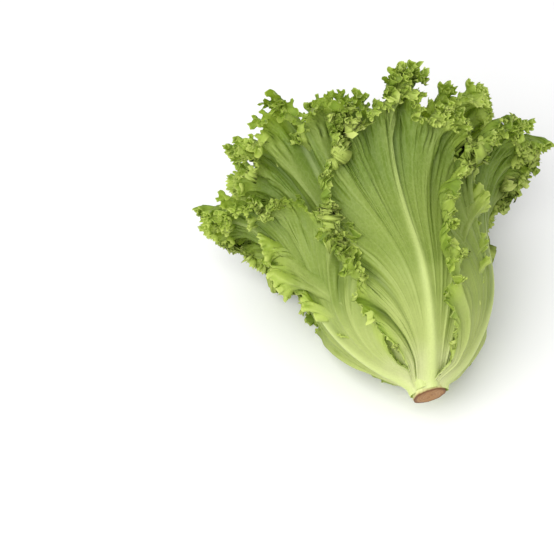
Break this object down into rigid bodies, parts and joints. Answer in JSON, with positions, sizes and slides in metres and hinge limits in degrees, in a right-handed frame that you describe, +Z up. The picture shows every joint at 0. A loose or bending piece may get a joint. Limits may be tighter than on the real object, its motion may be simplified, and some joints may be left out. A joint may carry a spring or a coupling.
{
  "type": "coral lettuce head",
  "caption": "Head of loose-leaf lettuce lying on its side, with a short cut stem and broad ribbed leaves that end in dense frills.",
  "frame": {"origin": "on the surface the head lies on, below the middle of its bounding box", "axes": "+Y from the cut stem to the crown, +Z up from the surface, +X to the right seen from the cut stem with +Z up; the head is widest along X, across its crown"},
  "size_m": [0.249, 0.2056, 0.1636],
  "materials": {
    "stem": "matt, browned cut stalk",
    "outer_leaf": "soft satin, yellow-green leaf",
    "heart_leaf": "soft satin, paler yellow-green leaf"
  },
  "bodies": {
    "root": {"stem": "stem", "leaf_right": "outer_leaf", "leaf_front": "outer_leaf", "leaf_under_right": "outer_leaf", "leaf_left": "outer_leaf", "leaf_upper_left": "outer_leaf", "leaf_under_left": "outer_leaf", "leaf_upper_right": "outer_leaf", "heart_leaf_01": "heart_leaf", "heart_leaf_02": "heart_leaf", "heart_leaf_03": "heart_leaf", "heart_leaf_04": "heart_leaf", "heart_leaf_05": "heart_leaf", "heart_leaf_06": "heart_leaf", "heart_leaf_07": "heart_leaf", "heart_leaf_08": "heart_leaf", "heart_leaf_09": "heart_leaf", "heart_leaf_10": "heart_leaf", "heart_leaf_11": "heart_leaf", "heart_leaf_12": "heart_leaf", "heart_leaf_13": "heart_leaf", "heart_leaf_14": "heart_leaf", "heart_leaf_15": "heart_leaf"}
  },
  "joints": []
}
